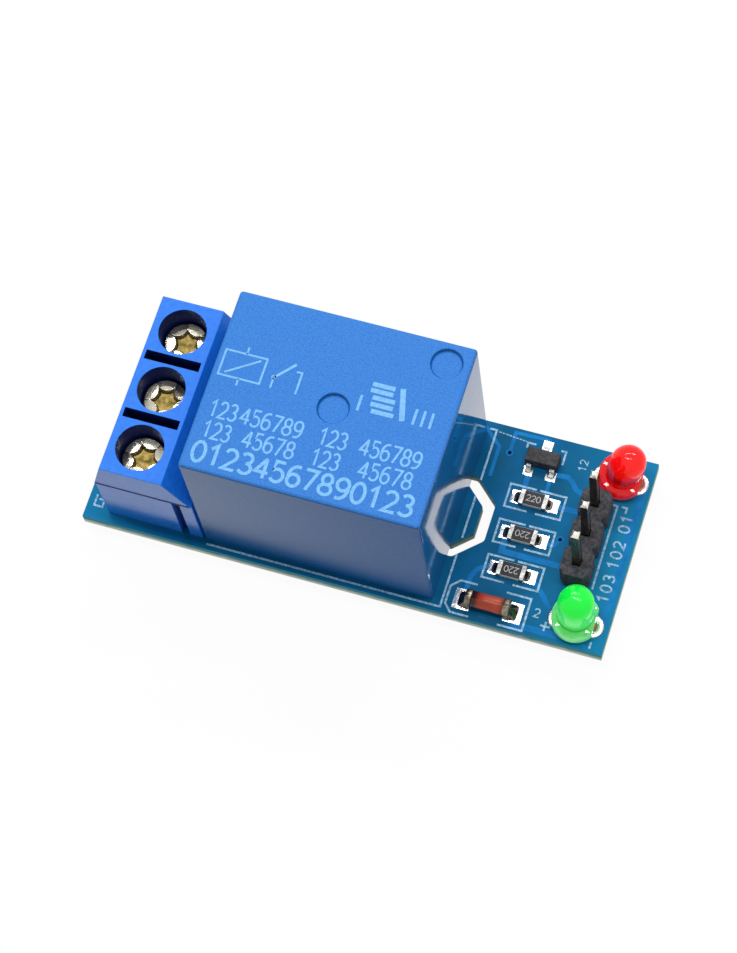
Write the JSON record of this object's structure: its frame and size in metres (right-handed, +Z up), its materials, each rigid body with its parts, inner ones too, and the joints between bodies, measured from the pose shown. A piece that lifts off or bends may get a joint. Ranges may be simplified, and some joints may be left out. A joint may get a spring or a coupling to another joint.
{
  "type": "relay module board",
  "caption": "Small blue printed board carrying a sealed relay, a three-way screw terminal, a three-pin header, two indicator lamps and surface-mounted driver parts.",
  "frame": {"origin": "middle of the board in plan, at the plane of the trimmed pin tips that it stands on", "axes": "+X along the board towards the header, +Y across it towards the red lamp, +Z up"},
  "size_m": [0.043, 0.0166, 0.0177],
  "materials": {
    "board": "glossy blue solder mask over glass-fibre laminate",
    "housing_blue": "satin moulded nylon",
    "cover_blue": "smooth moulded plastic with a fine-grained top",
    "base_blue": "moulded plastic",
    "cage_metal": "tin plate, satin",
    "screw_metal": "yellow-passivated zinc, bright lands",
    "plate_metal": "spring steel",
    "magnet_iron": "nickel-plated soft iron",
    "bobbin_white": "moulded plastic",
    "winding_copper": "enamelled copper wire",
    "contact_metal": "spring bronze with silver rivets",
    "header_black": "grainy moulded nylon",
    "header_gold": "thin gold flash",
    "red_lens": "diffusing epoxy",
    "green_lens": "diffusing epoxy",
    "lead_steel": "tinned steel",
    "resistor_black": "ceramic chip with a glazed black face",
    "diode_glass": "orange-tinted glass",
    "diode_cap": "tinned end caps",
    "transistor_black": "moulded epoxy",
    "solder": "bright tin solder"
  },
  "bodies": {
    "module": {"board": "board", "terminal_housing": "housing_blue", "terminal_cage_1": "cage_metal", "terminal_cage_2": "cage_metal", "terminal_cage_3": "cage_metal", "relay_cover": "cover_blue", "relay_base": "base_blue", "relay_yoke": "magnet_iron", "relay_core": "magnet_iron", "relay_bobbin": "bobbin_white", "relay_winding": "winding_copper", "relay_closed_contact": "contact_metal", "relay_open_contact": "contact_metal", "relay_common_pin": "contact_metal", "relay_coil_pin_1": "contact_metal", "relay_coil_pin_2": "contact_metal", "header_housing": "header_black", "header_pin_1": "header_gold", "header_pin_2": "header_gold", "header_pin_3": "header_gold", "red_lamp_lens": "red_lens", "red_lamp_leads": "lead_steel", "green_lamp_lens": "green_lens", "green_lamp_leads": "lead_steel", "resistor_1": "resistor_black", "resistor_2": "resistor_black", "resistor_3": "resistor_black", "diode_glass": "diode_glass", "diode_caps": "diode_cap", "transistor_body": "transistor_black", "transistor_leads": "lead_steel", "terminal_solder": "solder", "relay_solder": "solder", "header_solder": "solder", "lamp_solder": "solder", "surface_solder": "solder"},
    "armature": {"relay_armature": "magnet_iron", "relay_contact_spring": "contact_metal"},
    "plate_1": {"pressure_plate_1": "plate_metal"},
    "screw_1": {"terminal_screw_1": "screw_metal"},
    "plate_2": {"pressure_plate_2": "plate_metal"},
    "screw_2": {"terminal_screw_2": "screw_metal"},
    "plate_3": {"pressure_plate_3": "plate_metal"},
    "screw_3": {"terminal_screw_3": "screw_metal"}
  },
  "joints": [
    {"name": "armature_pivot", "type": "hinge", "parent": "module", "child": "armature", "pos_m": [0.00487, 0.0001, 0.014], "axis": [0, -1, 0], "range_deg": [0, 2.05], "stiffness_Nm_per_rad": 0.03, "springref_deg": -2.86},
    {"name": "plate_1_slide", "type": "slide", "parent": "module", "child": "plate_1", "axis": [0, 0, -1], "range_m": [0, 0.002]},
    {"name": "screw_1_turn", "type": "hinge", "parent": "plate_1", "child": "screw_1", "pos_m": [-0.016, 0.00508, 0.0096], "axis": [0, 0, -1], "range_deg": [0, 1440]},
    {"name": "plate_2_slide", "type": "slide", "parent": "module", "child": "plate_2", "axis": [0, 0, -1], "range_m": [0, 0.002]},
    {"name": "screw_2_turn", "type": "hinge", "parent": "plate_2", "child": "screw_2", "pos_m": [-0.016, 0, 0.0096], "axis": [0, 0, -1], "range_deg": [0, 1440]},
    {"name": "plate_3_slide", "type": "slide", "parent": "module", "child": "plate_3", "axis": [0, 0, -1], "range_m": [0, 0.002]},
    {"name": "screw_3_turn", "type": "hinge", "parent": "plate_3", "child": "screw_3", "pos_m": [-0.016, -0.00508, 0.0096], "axis": [0, 0, -1], "range_deg": [0, 1440]}
  ],
  "couplings": [
    {"joint": "screw_1_turn", "follows": "plate_1_slide", "rad_per_m": 12566},
    {"joint": "screw_2_turn", "follows": "plate_2_slide", "rad_per_m": 12566},
    {"joint": "screw_3_turn", "follows": "plate_3_slide", "rad_per_m": 12566}
  ]
}
